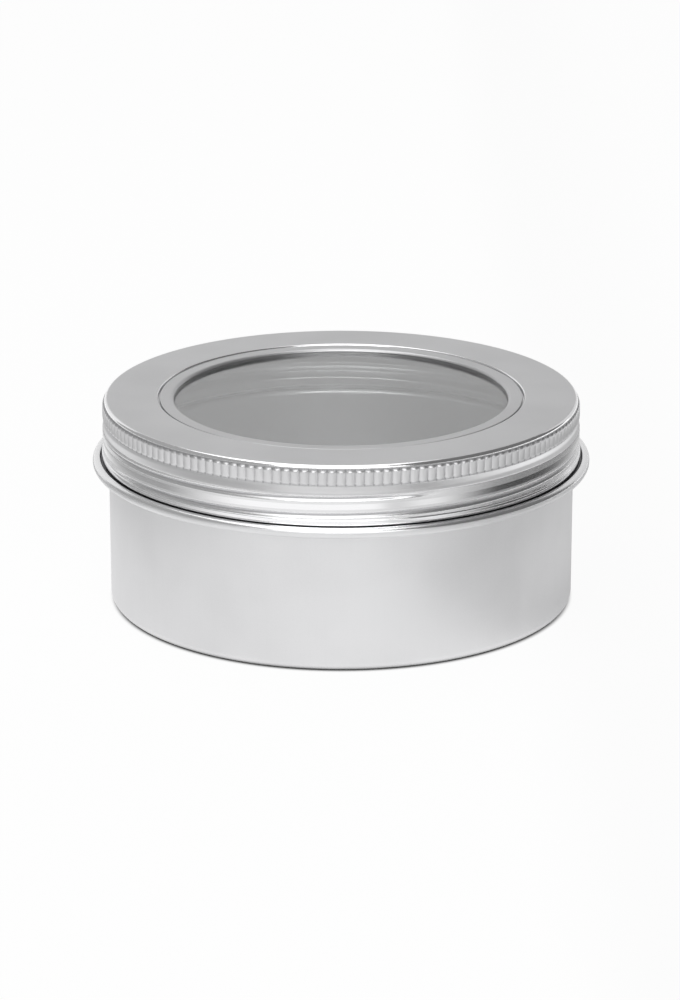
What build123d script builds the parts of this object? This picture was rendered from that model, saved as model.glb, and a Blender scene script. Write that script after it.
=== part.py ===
# Round screw-top tin with a clear window in its lid.
# Body and lid are drawn from thin aluminium sheet, with rolled beads and a rolled screw thread.
# Millimetres, +Z up, origin at the centre of the flat bottom. The front is on -Y.

from build123d import *

import os
from math import ceil, cos, pi, radians, sin

os.makedirs("parts", exist_ok=True)

# Body: a drawn cup with a stop bead and a narrower neck above it
body_radius = 40.5
body_sheet = 0.35
bottom_corner_radius = 1.5
bead_height = 25.0
bead_reach = 2.8
bead_radius = 0.85
bead_root_radius = 0.3
neck_step = 0.55
neck_height = 8.8
mouth_curl_radius = 0.5
curl_reach = 0.45

# Screw thread: one right-hand start, rolled into the neck and into the lid's skirt
thread_pitch = 2.9
thread_arc_angle = 30.0
neck_ridge_height = 1.0
neck_ridge_radius = 1.0
neck_thread_angles = (90.0, 600.0)
neck_run_out_angle = 20.0
lid_groove_depth = 0.5
lid_groove_radius = 0.55
lid_groove_rise = 1.95
lid_thread_angles = (-49.0, 440.0)
lid_run_out_angle = 15.0

# Lid: a drawn shell with a ribbed grip band, and a hole folded under at its edge
lid_sheet = 0.3
thread_clearance = 0.25
lid_edge_clearance = 0.2
shoulder_radius = 0.65
hem_height = 0.95
hem_proud = 0.2
hem_round_radius = 0.18
rib_count = 168
rib_height = 0.35
rib_round_radius = 0.85
rib_end_radius = 0.35
knurl_drop = 0.7
knurl_height = 2.8
step_height = 0.6
step_slope_height = 0.5
fold_thickness = 0.7
fold_width = 1.8

# Window: a formed metal frame that fills the hole inside the lid's flat rim, over a clear pane
rim_width = 9.7
frame_width = 2.55
frame_recess = 0.15
frame_inner_round = 0.7
frame_outer_round = 0.35
frame_crevice = 0.3
frame_edge_clearance = 0.5
pane_thickness = 0.4
pane_edge_clearance = 0.35

# Liner: a foam ring that lies on the rolled mouth and backs the pane
liner_thickness = 1.0
liner_width = 3.1
liner_edge_clearance = 0.25
liner_round_radius = 0.2
seal_clearance = 0.05

# Radii that follow
neck_radius = body_radius - neck_step
bead_tip_radius = body_radius + bead_reach
curl_centre_radius = neck_radius + curl_reach - mouth_curl_radius
thread_crest_radius = neck_radius + neck_ridge_height
lid_inner_radius = thread_crest_radius + thread_clearance
lid_radius = lid_inner_radius + lid_sheet
flute_radius = lid_radius - rib_height
grip_inner_radius = flute_radius - lid_sheet
lid_hole_radius = lid_radius - rim_width
frame_radius = lid_hole_radius - frame_crevice
window_radius = frame_radius - frame_width
liner_radius = grip_inner_radius - liner_edge_clearance
pane_radius = grip_inner_radius - pane_edge_clearance
flange_radius = grip_inner_radius - frame_edge_clearance

# Heights that follow
mouth_top = bead_height + neck_height
lid_edge = bead_height + bead_radius + lid_edge_clearance
liner_bottom = mouth_top + seal_clearance
pane_bottom = liner_bottom + liner_thickness + seal_clearance
frame_bottom = pane_bottom + pane_thickness
lid_top = frame_bottom + lid_sheet + fold_thickness
knurl_top = lid_top - knurl_drop
knurl_base = knurl_top - knurl_height
skirt_top = knurl_base - step_height
lid_groove_height = lid_edge + lid_groove_rise
neck_ridge_front_height = lid_groove_height - thread_pitch / 2


def thread_point(radius, front_height, angle):
    """A point of the thread, with its angle counted from the front towards the right."""
    turn = radians(angle)
    height = front_height + thread_pitch * angle / 360
    return Vector(radius * sin(turn), -radius * cos(turn), height)


def thread_heading(radius, angle):
    """The direction in which the thread climbs at an angle."""
    turn = radians(angle)
    return Vector(cos(turn), sin(turn), thread_pitch / (2 * pi * radius)).normalized()


def rolled_thread(radius, front_height, angles, run_out, sink, wire_radius):
    """A round bar along the thread, in tangent arcs. Its ends move out by sink, to fade away."""
    start, end = angles
    steps = ceil((end - start) / thread_arc_angle)
    turns = [start + (end - start) * step / steps for step in range(steps + 1)]
    places = [thread_point(radius, front_height, turn) for turn in turns]
    before = thread_point(radius + sink, front_height, start - run_out)
    after = thread_point(radius + sink, front_height, end + run_out)
    with BuildPart() as bar:
        with BuildLine() as course:
            heading = thread_heading(radius, start)
            TangentArc(places[0], before, tangent=heading * -1)
            for place, following in zip(places, places[1:]):
                arc = TangentArc(place, following, tangent=heading)
                heading = arc % 1
            TangentArc(places[-1], after, tangent=heading)
        with BuildSketch(Plane(course.wire() ^ 0)):
            Circle(wire_radius)
        sweep()
    return bar.part


# The neck's ridge, and the groove that the same rolling leaves inside the neck
neck_thread_radius = thread_crest_radius - neck_ridge_radius
neck_thread_place = (
    neck_thread_radius,
    neck_ridge_front_height,
    neck_thread_angles,
    neck_run_out_angle,
    -neck_ridge_height,
)
neck_ridge = rolled_thread(*neck_thread_place, neck_ridge_radius)
neck_groove = rolled_thread(*neck_thread_place, neck_ridge_radius - body_sheet)

# The lid's groove, and the ridge that the same rolling raises inside the skirt
lid_thread_radius = lid_radius - lid_groove_depth + lid_groove_radius
lid_thread_place = (
    lid_thread_radius,
    lid_groove_height,
    lid_thread_angles,
    lid_run_out_angle,
    lid_groove_depth,
)
lid_ridge = rolled_thread(*lid_thread_place, lid_groove_radius + lid_sheet)
lid_groove = rolled_thread(*lid_thread_place, lid_groove_radius)

# Body: the outer shape is turned, then the hollow is taken out to leave the sheet
bead_bottom = bead_height - bead_radius
bead_top = bead_height + bead_radius
channel_radius = bead_radius - body_sheet
bead_centre_radius = bead_tip_radius - bead_radius

with BuildPart() as tin_body:
    with BuildSketch(Plane.XZ):
        with BuildLine():
            FilletPolyline(
                (0, 0),
                (body_radius, 0),
                (body_radius, bead_bottom),
                (bead_centre_radius, bead_bottom),
                (bead_centre_radius, bead_top),
                (neck_radius, bead_top),
                (neck_radius, mouth_top - mouth_curl_radius),
                (0, mouth_top - mouth_curl_radius),
                radius=(0, bottom_corner_radius, bead_root_radius, 0, 0, bead_root_radius, 0, 0),
                close=True,
            )
        make_face()
        with Locations((bead_centre_radius, bead_height)):
            Circle(bead_radius)
        with Locations((curl_centre_radius, mouth_top - mouth_curl_radius)):
            Circle(mouth_curl_radius)
    revolve(axis=Axis.Z)
    add(neck_ridge)
    with BuildSketch(Plane.XZ):
        with BuildLine():
            FilletPolyline(
                (0, body_sheet),
                (body_radius - body_sheet, body_sheet),
                (body_radius - body_sheet, bead_height),
                (neck_radius - body_sheet, bead_height),
                (neck_radius - body_sheet, mouth_top),
                (0, mouth_top),
                radius=(0, bottom_corner_radius - body_sheet, 0, 0, 0, 0),
                close=True,
            )
        make_face()
        with Locations((bead_centre_radius, bead_height)):
            Circle(channel_radius)
            Rectangle(bead_centre_radius, 2 * channel_radius, align=(Align.MAX, Align.CENTER))
    revolve(axis=Axis.Z, mode=Mode.SUBTRACT)
    add(neck_groove, mode=Mode.SUBTRACT)

# Grip rib: a round upright bar, of which only the part outside the lid's wall is kept
rib_root_radius = flute_radius - lid_sheet / 2

with BuildPart() as grip_rib:
    with BuildSketch(Plane.XY.offset(knurl_base)):
        with Locations((lid_radius - rib_round_radius, 0)):
            Circle(rib_round_radius)
    extrude(amount=knurl_height)
    with BuildSketch(Plane.XZ):
        with BuildLine():
            FilletPolyline(
                (rib_root_radius, knurl_base),
                (lid_radius, knurl_base),
                (lid_radius, knurl_top),
                (rib_root_radius, knurl_top),
                radius=(0, rib_end_radius, rib_end_radius, 0),
                close=True,
            )
        make_face()
    revolve(axis=Axis.Z, mode=Mode.INTERSECT)

# Grip band: the lid's wall between the skirt and the shoulder, with its ribs
shoulder_foot = (knurl_top + lid_top - shoulder_radius) / 2

with BuildPart() as grip_band:
    with BuildSketch(Plane.XY.offset(skirt_top)):
        Circle(flute_radius)
        Circle(grip_inner_radius, mode=Mode.SUBTRACT)
    extrude(amount=shoulder_foot - skirt_top)
    with PolarLocations(0, rib_count):
        add(grip_rib.part)

# The lid's thread ridge, cut back to the middle of the skirt's sheet
with BuildPart() as skirt_ridge:
    add(lid_ridge)
    with BuildSketch(Plane.XY.offset(lid_edge)):
        Circle(lid_radius - lid_sheet / 2)
    extrude(amount=lid_top - lid_edge, mode=Mode.INTERSECT)

# Skirt: the threaded wall below the grip band, with its rolled edge
skirt_slope_foot = skirt_top - step_slope_height

with BuildPart() as skirt:
    with BuildSketch(Plane.XZ):
        with BuildLine():
            FilletPolyline(
                (lid_inner_radius, lid_edge),
                (lid_radius + hem_proud, lid_edge),
                (lid_radius + hem_proud, lid_edge + hem_height),
                (lid_radius, lid_edge + hem_height),
                (lid_radius, skirt_slope_foot),
                (flute_radius, skirt_top),
                (grip_inner_radius, skirt_top),
                (lid_inner_radius, skirt_slope_foot),
                radius=(0, hem_round_radius, hem_round_radius, 0, 0, 0, 0, 0),
                close=True,
            )
        make_face()
    revolve(axis=Axis.Z)
    add(skirt_ridge.part)
    add(lid_groove, mode=Mode.SUBTRACT)

# Lid: the flat rim with its shoulder, whose hole has a folded edge, on the grip band and skirt
fold_radius = fold_thickness / 2
fold_centre_radius = lid_hole_radius + fold_radius

with BuildPart() as lid_shell:
    with BuildSketch(Plane.XZ):
        with BuildLine():
            FilletPolyline(
                (fold_centre_radius, lid_top),
                (flute_radius, lid_top),
                (flute_radius, shoulder_foot),
                (grip_inner_radius, shoulder_foot),
                (grip_inner_radius, lid_top - lid_sheet),
                (fold_centre_radius, lid_top - lid_sheet),
                radius=(0, shoulder_radius, 0, 0, shoulder_radius - lid_sheet, 0),
                close=True,
            )
        make_face()
        with Locations((fold_centre_radius, lid_top - fold_radius)):
            Circle(fold_radius)
            Rectangle(
                fold_width - fold_radius,
                fold_thickness,
                align=(Align.MIN, Align.CENTER),
            )
    revolve(axis=Axis.Z)
    add(skirt.part)
    add(grip_band.part)

# Window frame: a raised land in the lid's hole, with a flange under the fold
frame_top = lid_top - frame_recess

with BuildPart() as window_frame:
    with BuildSketch(Plane.XZ):
        with BuildLine():
            FilletPolyline(
                (window_radius, frame_bottom),
                (window_radius, frame_top),
                (frame_radius, frame_top),
                (frame_radius, frame_bottom + lid_sheet),
                (flange_radius, frame_bottom + lid_sheet),
                (flange_radius, frame_bottom),
                radius=(0, frame_inner_round, frame_outer_round, 0, 0, 0),
                close=True,
            )
        make_face()
        with BuildLine():
            FilletPolyline(
                (window_radius + lid_sheet, frame_bottom),
                (window_radius + lid_sheet, frame_top - lid_sheet),
                (frame_radius - lid_sheet, frame_top - lid_sheet),
                (frame_radius - lid_sheet, frame_bottom),
                radius=(0, frame_inner_round - lid_sheet, 0, 0),
                close=True,
            )
        make_face(mode=Mode.SUBTRACT)
    revolve(axis=Axis.Z)

# Pane: a clear plastic disc, held between the frame and the liner
with BuildPart() as window_pane:
    with BuildSketch(Plane.XY.offset(pane_bottom)):
        Circle(pane_radius)
    extrude(amount=pane_thickness)

# Liner: a foam ring on the rolled mouth
with BuildPart() as seal_liner:
    with BuildSketch(Plane.XY.offset(liner_bottom)):
        Circle(liner_radius)
        Circle(liner_radius - liner_width, mode=Mode.SUBTRACT)
    extrude(amount=liner_thickness)
    fillet(seal_liner.edges().filter_by(GeomType.CIRCLE), radius=liner_round_radius)

pieces = {
    "tin_body": tin_body,
    "lid_shell": lid_shell,
    "window_frame": window_frame,
    "window_pane": window_pane,
    "seal_liner": seal_liner,
}
for name, piece in pieces.items():
    piece.part.label = name
    export_step(piece.part, f"parts/{name}.step")
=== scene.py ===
from math import cos, pi, radians, sin, sqrt, tan

import bmesh
import bpy
from mathutils import Matrix, Vector


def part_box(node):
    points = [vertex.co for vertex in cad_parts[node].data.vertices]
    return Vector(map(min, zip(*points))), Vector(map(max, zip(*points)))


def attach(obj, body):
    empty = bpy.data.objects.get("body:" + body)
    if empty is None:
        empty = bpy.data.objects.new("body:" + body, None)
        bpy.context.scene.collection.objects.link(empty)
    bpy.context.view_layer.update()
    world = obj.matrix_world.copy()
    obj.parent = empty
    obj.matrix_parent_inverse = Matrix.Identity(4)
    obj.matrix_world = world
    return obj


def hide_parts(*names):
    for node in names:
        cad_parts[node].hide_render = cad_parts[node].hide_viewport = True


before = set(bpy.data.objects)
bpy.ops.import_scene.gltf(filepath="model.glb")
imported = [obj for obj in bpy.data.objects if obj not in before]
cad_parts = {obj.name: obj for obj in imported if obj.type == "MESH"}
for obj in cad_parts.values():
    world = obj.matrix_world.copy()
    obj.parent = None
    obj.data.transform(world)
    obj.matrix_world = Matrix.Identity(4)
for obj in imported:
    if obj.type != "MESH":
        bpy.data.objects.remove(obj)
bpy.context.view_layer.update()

# Tin body: one cup drawn from soft aluminium sheet, with a rolled stop bead and a trough for the
# lid's edge under its neck. The drawing die leaves the wall satin, and the rollers that press the
# thread and the bead burnish them. The mouth is curled outwards, so that no raw edge shows.
mm = 0.001
body_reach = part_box("tin_body")[1]
bead_tip = body_reach.x / mm
mouth_top = body_reach.z / mm
body_radius = bead_tip - 2.8
body_sheet = 0.35
bottom_corner_radius = 1.5
bead_height = 25.0
bead_radius = 0.85
bead_root_radius = 0.9
bead_crest = 25.95
trough_radius = 41.95
trough_bottom = 25.45
trough_round = 0.15
crest_round = 0.33
neck_radius = body_radius - 0.55
neck_foot_radius = 0.3
curl_reach = 0.45
curl_height = 1.0
curl_foot_radius = 0.15
inner_fold_radius = 0.9
neck_fold_radius = 0.6
thread_pitch = 2.9
neck_thread_front = 27.0
neck_thread_turns = (90 / 360, 600 / 360)
neck_thread_height = 1.0
neck_thread_half_width = 1.2
neck_run_out = 20 / 360
thread_rows = 48
land_start, land_fade = 0.26, 0.10
channel_height = 0.2
body_columns = 372
arc_step = radians(11)
crease_angle = radians(38)
# The real grain and draw marks are some hundredths of a millimetre across, too fine for the
# render, so they are drawn about ten times coarser.
grain_size = 0.22
draw_mark_size, draw_mark_squeeze = 0.5, 0.03
cloud_size = 14.0
satin_tints = ("#e3e3e4", "#eaeaeb")
burnished_tint = "#fafafb"
# Painted shade in creases, the trough and the ribs' flutes: its darker tint and its roughness, then its share
# in the middle of the pressed groove.
painted_shade_tint, painted_shade_roughness = "#77777a", 0.6
groove_shade_share = 0.65
# How much the draw marks and the clouds change the roughness, and the clouds that of rolled metal.
mark_roughness, cloud_roughness, rolled_cloud_roughness = 0.08, 0.06, 0.04
mottle_grain = 0.3
mottle_low, mottle_high = 0.3, 0.9
relief_depth, relief_strength = 0.004, 0.25
grain_relief_share, mark_relief_share = 0.5, 0.25
burnish_flattening = 0.8


def outline(corners):
    """Points in radius and height. A corner is (radius, height, fillet, rows to the next one)."""
    points = []
    for index, (radius, height, fillet, rows) in enumerate(corners):
        here = Vector((radius, height))
        following = Vector(corners[(index + 1) % len(corners)][:2])
        if fillet:
            back = (Vector(corners[index - 1][:2]) - here).normalized()
            ahead = (following - here).normalized()
            half = back.angle(ahead) / 2
            centre = here + (back + ahead).normalized() * (fillet / sin(half))
            spoke = here + back * (fillet / tan(half)) - centre
            turn = (pi - 2 * half) * (1 if back.x * ahead.y < back.y * ahead.x else -1)
            steps = max(2, round(abs(turn) / arc_step))
            for step in range(steps + 1):
                points.append(centre + Matrix.Rotation(turn * step / steps, 2) @ spoke)
        else:
            points.append(here)
        last = points[-1]
        points += [last.lerp(following, row / rows) for row in range(1, rows)]
    return points


def turned(name, points, columns):
    """A shell turned round the upright axis. Points on the axis become poles."""
    mesh = bpy.data.meshes.new(name)
    build = bmesh.new()
    rings = []
    for radius, height in points:
        count = columns if radius > 0 else 1
        turns = [2 * pi * step / count for step in range(count)]
        places = [(radius * sin(turn) * mm, -radius * cos(turn) * mm, height * mm) for turn in turns]
        rings.append([build.verts.new(place) for place in places])
    closed = len(rings[0]) > 1
    for ring, outer in zip(rings, rings[1:] + rings[:1] * closed):
        for step in range(columns):
            if len(ring) == len(outer):
                build.faces.new([ring[step - 1], ring[step], outer[step], outer[step - 1]])
            elif len(ring) == 1:
                build.faces.new([ring[0], outer[step], outer[step - 1]])
            else:
                build.faces.new([ring[step - 1], ring[step], outer[0]])
    bmesh.ops.recalc_face_normals(build, faces=build.faces)
    build.to_mesh(mesh)
    build.free()
    piece = bpy.data.objects.new(name, mesh)
    bpy.context.collection.objects.link(piece)
    return piece


def add_node(tree, kind, inputs=(), **settings):
    """Adds a node with its settings. The inputs are a list in the node's own order, or a dict by
    name or place, and each is a value, or the socket that feeds it."""
    node = tree.nodes.new(kind)
    for name, value in settings.items():
        setattr(node, name, value)
    for key, value in inputs.items() if isinstance(inputs, dict) else enumerate(inputs):
        if isinstance(value, bpy.types.NodeSocket):
            tree.links.new(value, node.inputs[key])
        else:
            node.inputs[key].default_value = value
    return node


def node_tree(name, sockets):
    """A Geometry Nodes tree with named inputs, and the outputs of its input node."""
    tree = bpy.data.node_groups.new(name, "GeometryNodeTree")
    tree.interface.new_socket("Geometry", in_out="INPUT", socket_type="NodeSocketGeometry")
    tree.interface.new_socket("Geometry", in_out="OUTPUT", socket_type="NodeSocketGeometry")
    for label, kind in sockets.items():
        tree.interface.new_socket(label, in_out="INPUT", socket_type=kind)
    given = add_node(tree, "NodeGroupInput").outputs
    return tree, given


def rolled_thread_tree():
    """Presses one screw thread into a wall: each point moves out or in by its place on the thread.
    One attribute marks where shade is painted, near the middle line of a thread that is pressed in,
    and the attribute land tells the metal's finish where it is furthest from the thread."""
    lengths = ("Pitch", "Front height", "Start turn", "End turn", "Run out", "Half width", "Height",
               "Crease width")
    sockets = {label: "NodeSocketFloat" for label in lengths}
    tree, given = node_tree("rolled_thread", {**sockets, "Material": "NodeSocketMaterial"})
    pitch, start_turn, end_turn = given["Pitch"], given["Start turn"], given["End turn"]
    place = add_node(tree, "GeometryNodeInputPosition").outputs[0]
    across, back, height = add_node(tree, "ShaderNodeSeparateXYZ", [place]).outputs

    # How far round and up each point is, in turns, and how far it is from the thread.
    front = add_node(tree, "ShaderNodeMath", [back, -1.0], operation="MULTIPLY").outputs[0]
    angle = add_node(tree, "ShaderNodeMath", [across, front], operation="ARCTAN2").outputs[0]
    part_turn = add_node(tree, "ShaderNodeMath", [angle, 2 * pi], operation="DIVIDE").outputs[0]
    climb = add_node(tree, "ShaderNodeMath", [height, given["Front height"]], operation="SUBTRACT").outputs[0]
    rise = add_node(tree, "ShaderNodeMath", [climb, pitch], operation="DIVIDE").outputs[0]
    lead = add_node(tree, "ShaderNodeMath", [rise, part_turn], operation="SUBTRACT").outputs[0]
    full_turns = add_node(tree, "ShaderNodeMath", [lead], operation="ROUND").outputs[0]
    turn = add_node(tree, "ShaderNodeMath", [part_turn, full_turns], operation="ADD").outputs[0]
    aside = add_node(tree, "ShaderNodeMath", [rise, turn], operation="SUBTRACT").outputs[0]
    above = add_node(tree, "ShaderNodeMath", [aside, pitch], operation="MULTIPLY").outputs[0]
    offset = add_node(tree, "ShaderNodeMath", [above], operation="ABSOLUTE").outputs[0]

    # The thread's section, and its run-out at both ends.
    section = add_node(tree, "ShaderNodeMapRange", [offset, 0.0, given["Half width"], 1.0, 0.0],
                       interpolation_type="SMOOTHSTEP").outputs[0]
    before = add_node(tree, "ShaderNodeMath", [start_turn, given["Run out"]], operation="SUBTRACT").outputs[0]
    after = add_node(tree, "ShaderNodeMath", [end_turn, given["Run out"]], operation="ADD").outputs[0]
    starting = add_node(tree, "ShaderNodeMapRange", [turn, before, start_turn, 0.0, 1.0],
                        interpolation_type="SMOOTHSTEP").outputs[0]
    ending = add_node(tree, "ShaderNodeMapRange", [turn, end_turn, after, 1.0, 0.0],
                      interpolation_type="SMOOTHSTEP").outputs[0]
    present = add_node(tree, "ShaderNodeMath", [starting, ending], operation="MULTIPLY").outputs[0]
    press = add_node(tree, "ShaderNodeMath", [section, given["Height"]], operation="MULTIPLY").outputs[0]
    reach = add_node(tree, "ShaderNodeMath", [press, present], operation="MULTIPLY").outputs[0]

    # The marks for the painted shade in the groove and for the metal's finish.
    inwards = add_node(tree, "ShaderNodeMath", [given["Height"], 0.0], operation="LESS_THAN").outputs[0]
    pressed_in = add_node(tree, "ShaderNodeMath", [present, inwards], operation="MULTIPLY").outputs[0]
    fold = add_node(tree, "ShaderNodeMapRange", [offset, 0.0, given["Crease width"], 1.0, 0.0],
                    interpolation_type="SMOOTHSTEP").outputs[0]
    groove_shade = add_node(tree, "ShaderNodeMath", [fold, pressed_in], operation="MULTIPLY").outputs[0]
    spacing = add_node(tree, "ShaderNodeMath", [offset, pitch], operation="DIVIDE").outputs[0]
    land = add_node(tree, "ShaderNodeMapRange", [spacing, land_start, land_start + land_fade, 0.0, 1.0],
                    interpolation_type="SMOOTHSTEP").outputs[0]

    flat = add_node(tree, "ShaderNodeCombineXYZ", [across, back]).outputs[0]
    outwards = add_node(tree, "ShaderNodeVectorMath", [flat], operation="NORMALIZE").outputs[0]
    push = add_node(tree, "ShaderNodeVectorMath", {0: outwards, "Scale": reach}, operation="SCALE").outputs[0]
    shape = add_node(tree, "GeometryNodeSetPosition", {
        "Geometry": given["Geometry"], "Offset": push}).outputs[0]
    for name, value in (("groove_shade", groove_shade), ("land", land)):
        shape = add_node(tree, "GeometryNodeStoreNamedAttribute", {
            "Geometry": shape, "Name": name, "Value": value}, data_type="FLOAT", domain="POINT").outputs[0]
    smooth = add_node(tree, "GeometryNodeSetShadeSmooth", [shape]).outputs[0]
    finished = add_node(tree, "GeometryNodeSetMaterial", {
        "Geometry": smooth, "Material": given["Material"]}).outputs[0]
    add_node(tree, "NodeGroupOutput", [finished])
    return tree


def apply_tree(piece, tree, values):
    """Puts a tree on a piece as a modifier, with its inputs set by their labels."""
    modifier = piece.modifiers.new(tree.name, "NODES")
    modifier.node_group = tree
    for socket in tree.interface.items_tree:
        if socket.in_out == "INPUT" and socket.name in values:
            modifier[socket.identifier] = values[socket.name]


def plain_mesh(piece):
    """Turns what the modifiers make into a plain mesh, smooth except at its creases."""
    shaped = piece.evaluated_get(bpy.context.evaluated_depsgraph_get())
    piece.data = bpy.data.meshes.new_from_object(shaped)
    piece.modifiers.clear()
    piece.data.shade_smooth()
    piece.data.set_sharp_from_angle(angle=crease_angle)
    weighted = piece.modifiers.new("weighted_normals", "WEIGHTED_NORMAL")
    weighted.keep_sharp = True
    shaped = piece.evaluated_get(bpy.context.evaluated_depsgraph_get())
    piece.data = bpy.data.meshes.new_from_object(shaped)
    piece.modifiers.clear()


def colour(code):
    """The linear colour that an sRGB hex value such as #d8d8d6 stands for."""
    shares = [int(code[place:place + 2], 16) / 255 for place in (1, 3, 5)]
    linear = [share / 12.92 if share < 0.04045 else ((share + 0.055) / 1.055) ** 2.4 for share in shares]
    return linear + [1.0]


def mark_rings(piece, name, chosen):
    """Writes an attribute on the body's shell that is 1 on its chosen rings and 0 on the others."""
    marks = piece.data.attributes.new(name, "FLOAT", "POINT")
    for vertex in piece.data.vertices:
        ring = (vertex.index - 1) // body_columns + 1
        marks.data[vertex.index].value = float(chosen[ring])


def empty_material(name):
    """A new material and its node tree, which is empty."""
    material = bpy.data.materials.new(name)
    material.use_nodes = True
    material.node_tree.nodes.clear()
    return material, material.node_tree


def drawn_aluminium(name, satin_roughness, burnished_roughness, bands, shade_lines=(), tints=satin_tints):
    """Bare drawn aluminium: a fine satin grain, smoother and brighter metal in the bands that tools
    rolled, and painted shade in the creases: a darker, rougher metal. A band is (low, high, soft
    edge, share, part) in millimetres of height, and a line of painted shade (height, half width,
    share, part). The part is an attribute of the mesh that limits it, or nothing."""
    material, tree = empty_material(name)
    place = add_node(tree, "ShaderNodeTexCoord").outputs["Object"]
    height = add_node(tree, "ShaderNodeSeparateXYZ", [place]).outputs["Z"]
    textures = []
    for size, squeeze, detail in ((grain_size, 1, 3.0), (draw_mark_size, draw_mark_squeeze, 4.0),
                                  (cloud_size, 1, 2.0)):
        spread = add_node(tree, "ShaderNodeMapping", {"Vector": place, "Scale": (1, 1, squeeze)}).outputs[0]
        textures.append(add_node(tree, "ShaderNodeTexNoise", {
            "Vector": spread, "Scale": 1 / (size * mm), "Detail": detail}).outputs["Fac"])
    grain, draw_marks, cloud = textures

    # Where the metal is burnished, and where shade is painted on it.
    burnish = 0.0
    for low, high, soft, share, part in bands:
        rising = add_node(tree, "ShaderNodeMapRange", [height, (low - soft) * mm, low * mm, 0.0, share],
                          interpolation_type="SMOOTHSTEP").outputs[0]
        falling = add_node(tree, "ShaderNodeMapRange", [height, high * mm, (high + soft) * mm, 1.0, 0.0],
                           interpolation_type="SMOOTHSTEP").outputs[0]
        band = add_node(tree, "ShaderNodeMath", [rising, falling], operation="MULTIPLY").outputs[0]
        limit = add_node(tree, "ShaderNodeAttribute", attribute_name=part).outputs["Fac"] if part else 1.0
        band = add_node(tree, "ShaderNodeMath", [band, limit], operation="MULTIPLY").outputs[0]
        burnish = add_node(tree, "ShaderNodeMath", [burnish, band], operation="MAXIMUM").outputs[0]
    # Painted shade where the groove's attribute marks the middle of a pressed groove, and along the lines
    # given.
    groove_shade = add_node(tree, "ShaderNodeAttribute", attribute_name="groove_shade").outputs["Fac"]
    painted_shade = add_node(tree, "ShaderNodeMath", [groove_shade_share, groove_shade], operation="MULTIPLY").outputs[0]
    for middle, half_width, share, part in shade_lines:
        above = add_node(tree, "ShaderNodeMath", [height, middle * mm], operation="SUBTRACT").outputs[0]
        away = add_node(tree, "ShaderNodeMath", [above], operation="ABSOLUTE").outputs[0]
        line = add_node(tree, "ShaderNodeMapRange", [away, 0.0, half_width * mm, share, 0.0],
                        interpolation_type="SMOOTHSTEP").outputs[0]
        limit = add_node(tree, "ShaderNodeAttribute", attribute_name=part).outputs["Fac"] if part else 1.0
        line = add_node(tree, "ShaderNodeMath", [line, limit], operation="MULTIPLY").outputs[0]
        painted_shade = add_node(tree, "ShaderNodeMath", [painted_shade, line], operation="MAXIMUM").outputs[0]

    # The roughness varies a little with the draw marks and with slow clouds.
    marks = add_node(tree, "ShaderNodeMath", [draw_marks, 0.5], operation="SUBTRACT").outputs[0]
    clouds = add_node(tree, "ShaderNodeMath", [cloud, 0.5], operation="SUBTRACT").outputs[0]
    satin = add_node(tree, "ShaderNodeMath", [marks, mark_roughness, satin_roughness],
                     operation="MULTIPLY_ADD").outputs[0]
    satin = add_node(tree, "ShaderNodeMath", [clouds, cloud_roughness, satin],
                     operation="MULTIPLY_ADD").outputs[0]
    rolled = add_node(tree, "ShaderNodeMath", [clouds, rolled_cloud_roughness, burnished_roughness],
                      operation="MULTIPLY_ADD").outputs[0]
    clean = add_node(tree, "ShaderNodeMix", {"Factor": burnish, "A": satin, "B": rolled}).outputs["Result"]
    roughness = add_node(tree, "ShaderNodeMix", {
        "Factor": painted_shade, "A": clean, "B": painted_shade_roughness}).outputs["Result"]

    # The colour: two close satin tints, then the burnished one and the painted shade over them.
    mottle = add_node(tree, "ShaderNodeMath", [grain, mottle_grain, cloud],
                      operation="MULTIPLY_ADD").outputs[0]
    metal = add_node(tree, "ShaderNodeMapRange", [mottle, mottle_low, mottle_high, 0.0, 1.0],
                     interpolation_type="SMOOTHSTEP").outputs[0]
    metal = add_node(tree, "ShaderNodeMix", {
        "Factor": metal, 6: colour(tints[0]), 7: colour(tints[1])}, data_type="RGBA").outputs[2]
    for share, tint in ((burnish, burnished_tint), (painted_shade, painted_shade_tint)):
        metal = add_node(tree, "ShaderNodeMix", {
            "Factor": share, 6: metal, 7: colour(tint)}, data_type="RGBA").outputs[2]

    # The relief of grain and draw marks, which burnishing flattens.
    grain_relief = add_node(tree, "ShaderNodeMath", [grain, grain_relief_share],
                            operation="MULTIPLY").outputs[0]
    relief = add_node(tree, "ShaderNodeMath", [draw_marks, mark_relief_share, grain_relief],
                      operation="MULTIPLY_ADD").outputs[0]
    depth = add_node(tree, "ShaderNodeMath", [burnish, -burnish_flattening, 1.0],
                     operation="MULTIPLY_ADD").outputs[0]
    relief = add_node(tree, "ShaderNodeMath", [relief, depth], operation="MULTIPLY").outputs[0]
    bump = add_node(tree, "ShaderNodeBump", {
        "Height": relief, "Strength": relief_strength, "Distance": relief_depth * mm}).outputs[0]
    shader = add_node(tree, "ShaderNodeBsdfPrincipled", {
        "Base Color": metal, "Metallic": 1.0, "Roughness": roughness, "Normal": bump}).outputs[0]
    add_node(tree, "ShaderNodeOutputMaterial", {"Surface": shader})
    return material


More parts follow.
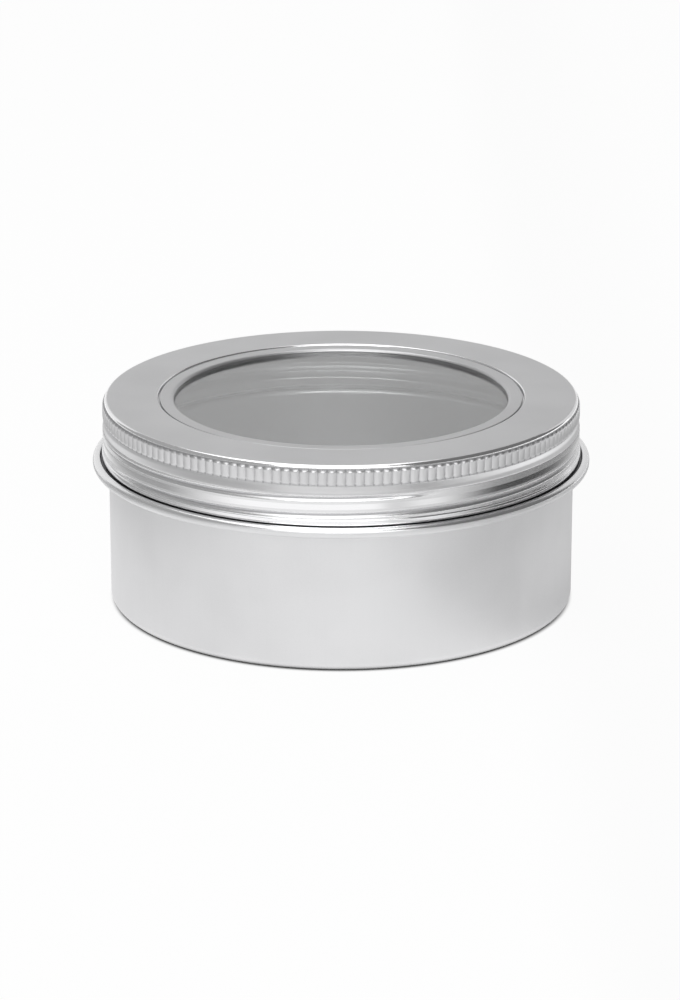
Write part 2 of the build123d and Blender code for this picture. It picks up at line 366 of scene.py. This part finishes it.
bead_bottom = bead_height - bead_radius
bead_round = bead_radius * 0.995
channel_low, channel_high = bead_height, bead_height + channel_height
channel_round = channel_height / 2 * 0.99
curl_bottom = mouth_top - curl_height
curl_round = curl_height / 2 * 0.9
curl_lower_round = curl_round * 0.45
mouth_round = body_sheet * 0.8
body_inside = body_radius - body_sheet
neck_inside = neck_radius - body_sheet
body_outline = outline([
    (0, 0, 0, 4),
    (body_radius, 0, bottom_corner_radius, 6),
    (body_radius, bead_bottom, bead_root_radius, 2),
    (bead_tip, bead_bottom, bead_round, 1),
    (bead_tip, bead_crest, bead_round, 1),
    (trough_radius, bead_crest, crest_round, 1),
    (trough_radius, trough_bottom, trough_round, 2),
    (neck_radius, trough_bottom, neck_foot_radius, thread_rows),
    (neck_radius, curl_bottom, curl_foot_radius, 1),
    (neck_radius + curl_reach, curl_bottom, curl_lower_round, 1),
    (neck_radius + curl_reach, mouth_top, curl_round, 1),
    (neck_inside, mouth_top, mouth_round, thread_rows),
    (neck_inside, channel_high, neck_fold_radius, 2),
    (bead_tip - body_sheet, channel_high, channel_round, 1),
    (bead_tip - body_sheet, channel_low, channel_round, 2),
    (body_inside, channel_low, inner_fold_radius, 6),
    (body_inside, body_sheet, bottom_corner_radius - body_sheet, 4),
    (0, body_sheet, 0, 1),
])
# Painted shade lines the trough under the lid's edge, on the rings marked trough.
body_aluminium = drawn_aluminium("satin_drawn_aluminium_body", 0.50, 0.16,
                                 [(25.5, 26.1, 0.15, 0.8, ""), (26.2, 34.0, 0.2, 0.3, ""),
                                  (0.3, 34.0, 0.3, 0.4, "inside")],
                                 shade_lines=[(trough_bottom + 0.1, 0.45, 1.0, "trough")])
rolled_thread = rolled_thread_tree()
tin = turned("tin", body_outline, body_columns)
mouth_ring = body_outline.index(max(reversed(body_outline), key=lambda point: point.y))
mark_rings(tin, "inside", [index > mouth_ring for index in range(len(body_outline))])
# The trough's rings, where shade is painted.
mark_rings(tin, "trough", [neck_radius < point.x < trough_radius + crest_round and
                           trough_bottom - 0.01 < point.y < bead_crest for point in body_outline])
apply_tree(tin, rolled_thread, {
    "Pitch": thread_pitch * mm,
    "Front height": neck_thread_front * mm,
    "Start turn": neck_thread_turns[0],
    "End turn": neck_thread_turns[1],
    "Run out": neck_run_out,
    "Half width": neck_thread_half_width * mm,
    "Height": neck_thread_height * mm,
    "Material": body_aluminium,
})
plain_mesh(tin)
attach(tin, "tin")
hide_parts("tin_body")

# Seal liner: a ring stamped from closed-cell polyethylene foam, loose in the lid.
# It is a soft off-white, with bubbles a third of a millimetre across at its skin.
liner_floor, liner_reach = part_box("seal_liner")
liner_radius = liner_reach.x / mm
liner_bottom = liner_floor.z / mm
liner_top = liner_reach.z / mm
liner_width = 3.1
liner_round = 0.2
foam_cell = 0.35
bubble_depth = 0.05


def polyethylene_foam(name):
    """Closed-cell foam: pale cell walls round slightly sunk bubbles, and a dull skin."""
    material, tree = empty_material(name)
    place = add_node(tree, "ShaderNodeTexCoord").outputs["Object"]
    cells = add_node(tree, "ShaderNodeTexVoronoi", {"Vector": place, "Scale": 1 / (foam_cell * mm)},
                     feature="SMOOTH_F1").outputs["Distance"]
    tint = add_node(tree, "ShaderNodeMix", {"Factor": cells, 6: colour("#dedcd6"), 7: colour("#f3f2ee")},
                    data_type="RGBA").outputs[2]
    bump = add_node(tree, "ShaderNodeBump", {
        "Height": cells, "Strength": 0.5, "Distance": bubble_depth * mm}).outputs[0]
    shader = add_node(tree, "ShaderNodeBsdfPrincipled", {
        "Base Color": tint, "Roughness": 0.85, "IOR": 1.5, "Normal": bump}).outputs[0]
    add_node(tree, "ShaderNodeOutputMaterial", {"Surface": shader})
    return material


liner_outline = outline([
    (liner_radius - liner_width, liner_bottom, liner_round, 2),
    (liner_radius, liner_bottom, liner_round, 1),
    (liner_radius, liner_top, liner_round, 2),
    (liner_radius - liner_width, liner_top, liner_round, 1),
])
liner = turned("liner", liner_outline, body_columns // 2)
liner.data.materials.append(polyethylene_foam("closed_cell_foam"))
plain_mesh(liner)
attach(liner, "liner")
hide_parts("seal_liner")

# Window pane: a disc cut from clear polyester sheet, held between the frame and the liner.
# It is glass-clear and glossy, with the faint waviness of rolled sheet.
pane_floor, pane_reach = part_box("window_pane")
pane_radius = pane_reach.x / mm
pane_bottom = pane_floor.z / mm
pane_top = pane_reach.z / mm
pane_edge_round = 0.08
ripple_size, ripple_depth = 18, 0.1
scuff_size = 3
scuff_low, scuff_high = 0.45, 0.8
clear_roughness, scuffed_roughness = 0.01, 0.06


def clear_polyester(name):
    """Clear plastic sheet: smooth and colourless, with a slow ripple in what it reflects and
    faint scuffs, which haze it a little."""
    material, tree = empty_material(name)
    place = add_node(tree, "ShaderNodeTexCoord").outputs["Object"]
    ripple, scuff = [add_node(tree, "ShaderNodeTexNoise", {
        "Vector": place, "Scale": 1 / (size * mm), "Detail": detail}).outputs["Fac"]
        for size, detail in ((ripple_size, 1.0), (scuff_size, 4.0))]
    bump = add_node(tree, "ShaderNodeBump", {
        "Height": ripple, "Strength": 0.2, "Distance": ripple_depth * mm}).outputs[0]
    haze = add_node(tree, "ShaderNodeMapRange", [
        scuff, scuff_low, scuff_high, clear_roughness, scuffed_roughness]).outputs[0]
    shader = add_node(tree, "ShaderNodeBsdfPrincipled", {
        "Base Color": colour("#fbfcfc"), "Roughness": haze, "IOR": 1.57, "Transmission Weight": 1.0,
        "Normal": bump}).outputs[0]
    add_node(tree, "ShaderNodeOutputMaterial", {"Surface": shader})
    return material


pane_outline = outline([
    (0, pane_bottom, 0, 3),
    (pane_radius, pane_bottom, pane_edge_round, 1),
    (pane_radius, pane_top, pane_edge_round, 3),
    (0, pane_top, 0, 1),
])
pane = turned("pane", pane_outline, body_columns // 2)
pane.data.materials.append(clear_polyester("clear_polyester_sheet"))
plain_mesh(pane)
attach(pane, "lid")
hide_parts("window_pane")

# Window frame: a ring formed from aluminium sheet, with a raised land that fills the lid's hole
# and a flange that the folded edge of the hole holds down. The land's inner edge is well rounded.
frame_floor, frame_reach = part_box("window_frame")
flange_radius = frame_reach.x / mm
frame_bottom = frame_floor.z / mm
frame_top = frame_reach.z / mm
frame_radius = 31.5
frame_width = 2.55
frame_sheet = 0.3
frame_inner_round = 0.7
frame_outer_round = 0.15
frame_foot_round = 0.1
window_radius = frame_radius - frame_width

frame_outline = outline([
    (window_radius, frame_bottom, 0, 2),
    (window_radius, frame_top, frame_inner_round, 3),
    (frame_radius, frame_top, frame_outer_round, 1),
    (frame_radius, frame_bottom + frame_sheet, frame_foot_round, 4),
    (flange_radius, frame_bottom + frame_sheet, frame_foot_round, 1),
    (flange_radius, frame_bottom, frame_foot_round, 4),
    (frame_radius - frame_sheet, frame_bottom, 0, 1),
    (frame_radius - frame_sheet, frame_top - frame_sheet, frame_foot_round, 2),
    (window_radius + frame_sheet, frame_top - frame_sheet, frame_inner_round - frame_sheet, 1),
    (window_radius + frame_sheet, frame_bottom, 0, 1),
])
window_ring = turned("window_ring", frame_outline, body_columns)
window_ring.data.materials.append(
    drawn_aluminium("satin_formed_aluminium_frame", 0.42, 0.2, [(35.0, 35.7, 0.3, 0.3, "")],
                    tints=("#c6c6c7", "#cececf")))
plain_mesh(window_ring)
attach(window_ring, "lid")
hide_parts("window_frame")

# Lid: a shell drawn from thinner aluminium sheet. Its rim is flat and satin, its shoulder is
# drawn bright, and 168 grip ribs are pressed out of its wall from inside. Below them the screw
# groove is rolled in, which burnishes the skirt, and the lower edge is rolled out over itself.
lid_floor, lid_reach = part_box("lid_shell")
lid_edge = lid_floor.z / mm
lid_top = lid_reach.z / mm
hem_proud = 0.2
hem_radius = lid_reach.x / mm
hem_low = lid_edge - 0.09
hem_height = 0.95
hem_round = 0.17
hem_root_round = 0.08
lid_radius = hem_radius - hem_proud
lid_sheet = 0.3
lid_inside = lid_radius - lid_sheet
shoulder_radius = 0.65
rib_count = 168
rib_height = 0.35
rib_round = 1.1
rib_end = 0.55
rib_end_rows = 5
flute_start = 0.6
knurl_top = lid_top - 0.7
knurl_base = knurl_top - 2.8
slope_foot = knurl_base - 1.5
slope_round = 1.2
flute_radius = lid_radius - rib_height
grip_inside = flute_radius - lid_sheet
hole_radius = lid_radius - 9.7
fold_thickness = 0.7
fold_width = 1.8
fold_round = fold_thickness / 2 * 0.99
lid_thread_front = 27.8
lid_thread_turns = (-49 / 360, 365 / 360)
lid_groove_depth = 0.32
lid_groove_half_width = 0.54
lid_crease_width = 0.2
lid_run_out = 20 / 360
skirt_rows = 52
wide_columns, middle_columns, fine_columns = 2, 4, 8


def ribbed_ring_tree():
    """Repeats a slice of the lid, one rib wide, round the upright axis, and joins the slices."""
    tree, given = node_tree("ribbed_ring", {
        "Rib count": "NodeSocketInt", "Weld distance": "NodeSocketFloat", "Material": "NodeSocketMaterial"})
    index = add_node(tree, "GeometryNodeInputIndex").outputs[0]
    step = add_node(tree, "ShaderNodeMath", [2 * pi, given["Rib count"]], operation="DIVIDE").outputs[0]
    angle = add_node(tree, "ShaderNodeMath", [index, step], operation="MULTIPLY").outputs[0]
    turn = add_node(tree, "ShaderNodeCombineXYZ", {"Z": angle}).outputs[0]
    rotation = add_node(tree, "FunctionNodeEulerToRotation", [turn]).outputs[0]
    axis_points = add_node(tree, "GeometryNodePoints", {"Count": given["Rib count"]}).outputs[0]
    slices = add_node(tree, "GeometryNodeInstanceOnPoints", {
        "Points": axis_points, "Instance": given["Geometry"], "Rotation": rotation}).outputs[0]
    joined = add_node(tree, "GeometryNodeRealizeInstances", [slices]).outputs[0]
    welded = add_node(tree, "GeometryNodeMergeByDistance", {
        "Geometry": joined, "Distance": given["Weld distance"]}).outputs[0]
    finished = add_node(tree, "GeometryNodeSetMaterial", {
        "Geometry": welded, "Material": given["Material"]}).outputs[0]
    add_node(tree, "NodeGroupOutput", [finished])
    return tree


def rib_reach(across, height):
    """The lid's outer radius at a place in the ribbed band: round bars with short domed ends."""
    foot = sqrt(rib_round ** 2 - (rib_round - rib_height) ** 2)
    past_end = max(0, height - (knurl_top - rib_end), (knurl_base + rib_end) - height) / rib_end
    inside = rib_round ** 2 - across ** 2 - (past_end * foot) ** 2
    return max(flute_radius, lid_radius - rib_round + sqrt(max(0, inside)))


def lid_slice():
    """One rib's width of the lid, as a closed section. Rows have more columns near the rib."""
    half_width = lid_radius * pi / rib_count
    ends = [rib_end * sin(pi / 2 * step / rib_end_rows) for step in range(rib_end_rows + 1)]
    rib_heights = [knurl_base + rib_end - end for end in reversed(ends)]
    rib_heights += [knurl_top - rib_end + end for end in ends]
    hem_top = lid_edge + hem_height
    shell = outline([
        (flute_radius, lid_top, shoulder_radius, 5),
        (hole_radius, lid_top, fold_round, 1),
        (hole_radius, lid_top - fold_thickness, fold_round, 2),
        (hole_radius + fold_width, lid_top - fold_thickness, 0, 1),
        (hole_radius + fold_width, lid_top - lid_sheet, 0, 4),
        (grip_inside, lid_top - lid_sheet, shoulder_radius - lid_sheet, 2),
        (grip_inside, knurl_base, slope_round / 2, 1),
        (lid_inside, slope_foot, slope_round / 2, skirt_rows * 2 // 3),
        (lid_inside, hem_low, hem_round / 2, 2),
        (hem_radius, hem_low, hem_round, 2),
        (hem_radius, hem_top, hem_round, 1),
        (lid_radius, hem_top, hem_root_round, skirt_rows),
        (lid_radius, slope_foot, slope_round, 6),
        (flute_radius, knurl_base, 0, 1),
    ])[:-1]
    rows = [(point.x, point.y, wide_columns) for point in shell]
    rows[0] = (*rows[0][:2], middle_columns)
    rows[-1] = (*rows[-1][:2], middle_columns)
    rows += [(None, height, fine_columns) for height in rib_heights]
    build = bmesh.new()
    flute = build.verts.layers.float.new("flute")
    lines = []
    for radius, height, columns in rows:
        line = []
        for column in range(columns + 1):
            share = -cos(pi * column / columns)
            turn = share * pi / rib_count
            reach = rib_reach(share * half_width, height) if radius is None else radius
            corner = build.verts.new((reach * sin(turn) * mm, -reach * cos(turn) * mm, height * mm))
            corner[flute] = max(0, (abs(share) - flute_start) / (1 - flute_start))
            line.append(corner)
        lines.append(line)
    for line, above in zip(lines, lines[1:] + lines[:1]):
        for step in range(min(len(line), len(above)) - 1):
            if len(line) == len(above):
                build.faces.new((line[step], line[step + 1], above[step + 1], above[step]))
            elif len(line) < len(above):
                low, high, middle = line[step], line[step + 1], above[2 * step + 1]
                build.faces.new((low, middle, above[2 * step]))
                build.faces.new((low, high, middle))
                build.faces.new((high, above[2 * step + 2], middle))
            else:
                low, high, middle = above[step], above[step + 1], line[2 * step + 1]
                build.faces.new((low, line[2 * step], middle))
                build.faces.new((high, low, middle))
                build.faces.new((high, middle, line[2 * step + 2]))
    mesh = bpy.data.meshes.new("lid_slice")
    build.to_mesh(mesh)
    build.free()
    return mesh


# Painted shade lines the crease above the ribs, their foot, and the flutes at their ends.
lid_aluminium = drawn_aluminium("satin_drawn_aluminium_lid", 0.46, 0.13,
                                [(25.8, 27.05, 0.1, 1.0, ""), (35.8, 36.2, 0.1, 1.0, ""),
                                 (27.1, 30.3, 0.4, 1.0, "land"), (27.1, 31.2, 0.3, 0.6, ""),
                                 (31.0, 32.6, 0.3, 0.5, "land"), (32.9, 35.3, 0.2, 0.25, "")],
                                shade_lines=[(knurl_top - 0.05, 0.25, 0.55, ""),
                                            (knurl_base, 0.14, 0.3, ""),
                                            (knurl_top - 0.15, 0.5, 0.8, "flute"),
                                            (knurl_base + 0.1, 0.35, 0.7, "flute")],
                                tints=("#cdcdce", "#d5d5d6"))
lid = bpy.data.objects.new("lid", lid_slice())
bpy.context.collection.objects.link(lid)
apply_tree(lid, ribbed_ring_tree(), {
    "Rib count": rib_count,
    "Weld distance": 0.001 * mm,
    "Material": lid_aluminium,
})
apply_tree(lid, rolled_thread, {
    "Pitch": thread_pitch * mm,
    "Front height": lid_thread_front * mm,
    "Start turn": lid_thread_turns[0],
    "End turn": lid_thread_turns[1],
    "Run out": lid_run_out,
    "Half width": lid_groove_half_width * mm,
    "Height": -lid_groove_depth * mm,
    "Crease width": lid_crease_width * mm,
    "Material": lid_aluminium,
})
plain_mesh(lid)
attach(lid, "lid")
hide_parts("lid_shell")

# Studio: a white table in a light tent, lit from above, in front, behind and low at the right.
# A low grey paper strip stands round the tin out of view, open at the front. It gives the
# burnished metal its dark bands, and leaves the satin metal pale.
table_size = 3.0
table_contact_radius = 0.0395
table_open_radius = 0.0409
# The painted shadow on the table's right side: where it starts, is full, thins and ends, and its shares.
table_shade_start, table_shade_full, table_shade_past, table_shade_end = 0.026, 0.046, 0.050, 0.085
table_shade_share, table_shade_far_share = 0.6, 0.15
table_white_share = 0.95
strip_radius = 0.085
strip_low, strip_high = 0.005, 0.022
strip_fade = 0.006
strip_columns = 96
# Degrees round from the front where each side of the strip starts, is full, thins and ends, then
# its share where it is full, and how much of that is left behind the tin.
strip_right = (25, 65, 80, 145, 0.95, 0.45)
strip_left = (-32, -76, -100, -140, 0.68, 0.6)
# Radiance, width, length, place, and the way that the panel faces.
light_panels = {
    "top_panel": (1.4, 0.7, 1.4, (-0.12, -0.2, 0.8), (0, 0, -1)),
    "front_panel": (1.9, 1.1, 0.56, (0, -0.9, 0.52), (0, 1, 0)),
    "side_panel": (1.0, 1.1, 0.08, (0.5, -0.05, 0.045), (-1, 0, 0)),
    "back_panel": (0.5, 2.4, 1.0, (0, 1.1, 0.5), (0, -1, 0)),
}
room_left_level = 0.36
room_right_level = 0.15
room_fade = 0.6


def stage_sheet(name, corners, faces, material):
    """A sheet of the studio, which isn't part of the object."""
    mesh = bpy.data.meshes.new(name)
    mesh.from_pydata(corners, [], faces)
    mesh.materials.append(material)
    sheet = bpy.data.objects.new(name, mesh)
    bpy.context.collection.objects.link(sheet)
    return sheet


def table_material():
    """White table, drawn as plain white except round the tin's foot, where its shadow shows and a
    painted shadow darkens it. The metal sees a painted shadow on its right side."""
    material, tree = empty_material("white_table")
    path = add_node(tree, "ShaderNodeLightPath").outputs
    place = add_node(tree, "ShaderNodeTexCoord").outputs["Object"]
    reach = add_node(tree, "ShaderNodeVectorMath", [place], operation="LENGTH").outputs["Value"]
    across = add_node(tree, "ShaderNodeSeparateXYZ", [place]).outputs["X"]
    near = add_node(tree, "ShaderNodeMapRange", [across, table_shade_start, table_shade_full, 0.0, 1.0],
                    interpolation_type="SMOOTHSTEP").outputs[0]
    far = add_node(tree, "ShaderNodeMapRange", [
        across, table_shade_past, table_shade_end, table_shade_share, table_shade_far_share],
        interpolation_type="SMOOTHSTEP").outputs[0]
    shade = add_node(tree, "ShaderNodeMath", [near, far], operation="MULTIPLY").outputs[0]
    unshaded = add_node(tree, "ShaderNodeMath", [1.0, shade], operation="SUBTRACT").outputs[0]
    mirrored = add_node(tree, "ShaderNodeMath", [path["Is Glossy Ray"], unshaded],
                        operation="MULTIPLY").outputs[0]
    looked_at = add_node(tree, "ShaderNodeMath", [path["Is Camera Ray"], path["Is Transmission Ray"]],
                         operation="MAXIMUM").outputs[0]
    seen = add_node(tree, "ShaderNodeMath", [looked_at, mirrored], operation="MAXIMUM").outputs[0]
    under = add_node(tree, "ShaderNodeMapRange", [reach, table_contact_radius, table_open_radius, 0.0, 1.0],
                     interpolation_type="SMOOTHSTEP").outputs[0]
    whitened = add_node(tree, "ShaderNodeMath", [under, table_white_share], operation="MULTIPLY").outputs[0]
    share = add_node(tree, "ShaderNodeMath", [seen, whitened], operation="MULTIPLY").outputs[0]
    light = add_node(tree, "ShaderNodeMath", [under, unshaded], operation="MULTIPLY").outputs[0]
    # A painted shadow: the table's colour darkens round the foot and on its right side.
    painted_shadow_tone = add_node(tree, "ShaderNodeMix", {"Factor": light, 6: colour("#8a8a8a"), 7: colour("#f6f6f6")},
                    data_type="RGBA").outputs[2]
    paint = add_node(tree, "ShaderNodeBsdfDiffuse", {"Color": painted_shadow_tone}).outputs[0]
    white = add_node(tree, "ShaderNodeEmission", {"Color": colour("#ffffff"), "Strength": 1.0}).outputs[0]
    shader = add_node(tree, "ShaderNodeMixShader", [share, paint, white]).outputs[0]
    add_node(tree, "ShaderNodeOutputMaterial", {"Surface": shader})
    return material


def strip_material():
    """Thin grey paper: dark at the right, paler at the left and behind, with soft ends and top."""
    material, tree = empty_material("grey_paper_strip")
    place = add_node(tree, "ShaderNodeTexCoord").outputs["Object"]
    across, back, height = add_node(tree, "ShaderNodeSeparateXYZ", [place]).outputs
    front = add_node(tree, "ShaderNodeMath", [back, -1.0], operation="MULTIPLY").outputs[0]
    angle = add_node(tree, "ShaderNodeMath", [across, front], operation="ARCTAN2").outputs[0]
    turn = add_node(tree, "ShaderNodeMath", [angle], operation="DEGREES").outputs[0]
    sides = []
    for start, full, past, end, full_share, left_behind in strip_right, strip_left:
        near = add_node(tree, "ShaderNodeMapRange", [turn, start, full, 0.0, full_share],
                        interpolation_type="SMOOTHSTEP").outputs[0]
        far = add_node(tree, "ShaderNodeMapRange", [turn, past, end, 1.0, left_behind],
                       interpolation_type="SMOOTHSTEP").outputs[0]
        sides.append(add_node(tree, "ShaderNodeMath", [near, far], operation="MULTIPLY").outputs[0])
    both = add_node(tree, "ShaderNodeMath", sides, operation="MAXIMUM").outputs[0]
    upper = add_node(tree, "ShaderNodeMapRange", [height, strip_high - strip_fade, strip_high, 1.0, 0.0],
                     interpolation_type="SMOOTHSTEP").outputs[0]
    lower = add_node(tree, "ShaderNodeMapRange", [height, strip_low, strip_low + strip_fade, 0.0, 1.0],
                     interpolation_type="SMOOTHSTEP").outputs[0]
    edges = add_node(tree, "ShaderNodeMath", [upper, lower], operation="MULTIPLY").outputs[0]
    share = add_node(tree, "ShaderNodeMath", [both, edges], operation="MULTIPLY").outputs[0]
    clear = add_node(tree, "ShaderNodeBsdfTransparent").outputs[0]
    paper = add_node(tree, "ShaderNodeBsdfDiffuse", {"Color": colour("#303030")}).outputs[0]
    shader = add_node(tree, "ShaderNodeMixShader", [share, clear, paper]).outputs[0]
    add_node(tree, "ShaderNodeOutputMaterial", {"Surface": shader})
    return material


def light_panel(name, radiance, width, length, place, facing):
    """A lit wall of the tent: an even rectangle of light that faces one way."""
    lamp = bpy.data.lights.new(name, "AREA")
    lamp.shape = "RECTANGLE"
    lamp.size = width
    lamp.size_y = length
    lamp.energy = radiance * pi * width * length
    panel = bpy.data.objects.new(name, lamp)
    bpy.context.collection.objects.link(panel)
    panel.location = place
    panel.rotation_euler = Vector(facing).to_track_quat("-Z", "Y").to_euler()
    panel.visible_camera = False


def upright(points, height):
    """Corners and faces of a sheet that stands on the table along a line of points."""
    corners = [(*point, level) for point in points for level in (0, height)]
    faces = [(2 * step, 2 * step + 2, 2 * step + 3, 2 * step + 1) for step in range(len(points) - 1)]
    return corners, faces


edge = table_size / 2
stage_sheet("table", [(-edge, -edge, 0), (edge, -edge, 0), (edge, edge, 0), (-edge, edge, 0)],
            [(0, 1, 2, 3)], table_material())
strip_turns = [2 * pi * step / strip_columns for step in range(strip_columns + 1)]
strip_line = [(strip_radius * sin(turn), -strip_radius * cos(turn)) for turn in strip_turns]
strip = stage_sheet("paper_strip", *upright(strip_line, strip_high), strip_material())
strip.visible_camera = False
strip.visible_diffuse = False
strip.visible_shadow = False
for name, panel in light_panels.items():
    light_panel(name, *panel)

world = bpy.data.worlds.new("studio")
bpy.context.scene.world = world
world.use_nodes = True
sky_tree = world.node_tree
sky_tree.nodes.clear()
sky = add_node(sky_tree, "ShaderNodeTexCoord").outputs["Generated"]
side = add_node(sky_tree, "ShaderNodeSeparateXYZ", [sky]).outputs["X"]
room = add_node(sky_tree, "ShaderNodeMapRange", [
    side, -room_fade, room_fade, room_left_level, room_right_level]).outputs[0]
camera_ray = add_node(sky_tree, "ShaderNodeLightPath").outputs["Is Camera Ray"]
level = add_node(sky_tree, "ShaderNodeMapRange", [camera_ray, 0.0, 1.0, room, 1.0]).outputs[0]
air = add_node(sky_tree, "ShaderNodeBackground", {"Color": colour("#ffffff"), "Strength": level}).outputs[0]
add_node(sky_tree, "ShaderNodeOutputWorld", {"Surface": air})
bpy.context.scene.view_settings.view_transform = "Standard"

# Camera: in front of the tin and a little above it, where the photograph was taken from.
camera_distance = 0.684
camera_elevation = radians(18.2)
camera_aim = Vector((-0.00019, 0, 0.0169))
camera_lens = 140.4
camera_sensor = 36.0
camera = bpy.data.cameras.new("camera")
camera.lens = camera_lens
camera.sensor_width = camera_sensor
camera_object = bpy.data.objects.new("camera", camera)
bpy.context.collection.objects.link(camera_object)
camera_back = Vector((0, -cos(camera_elevation), sin(camera_elevation)))
camera_object.location = camera_aim + camera_back * camera_distance
camera_object.rotation_euler = camera_back.to_track_quat("Z", "Y").to_euler()
bpy.context.scene.camera = camera_object
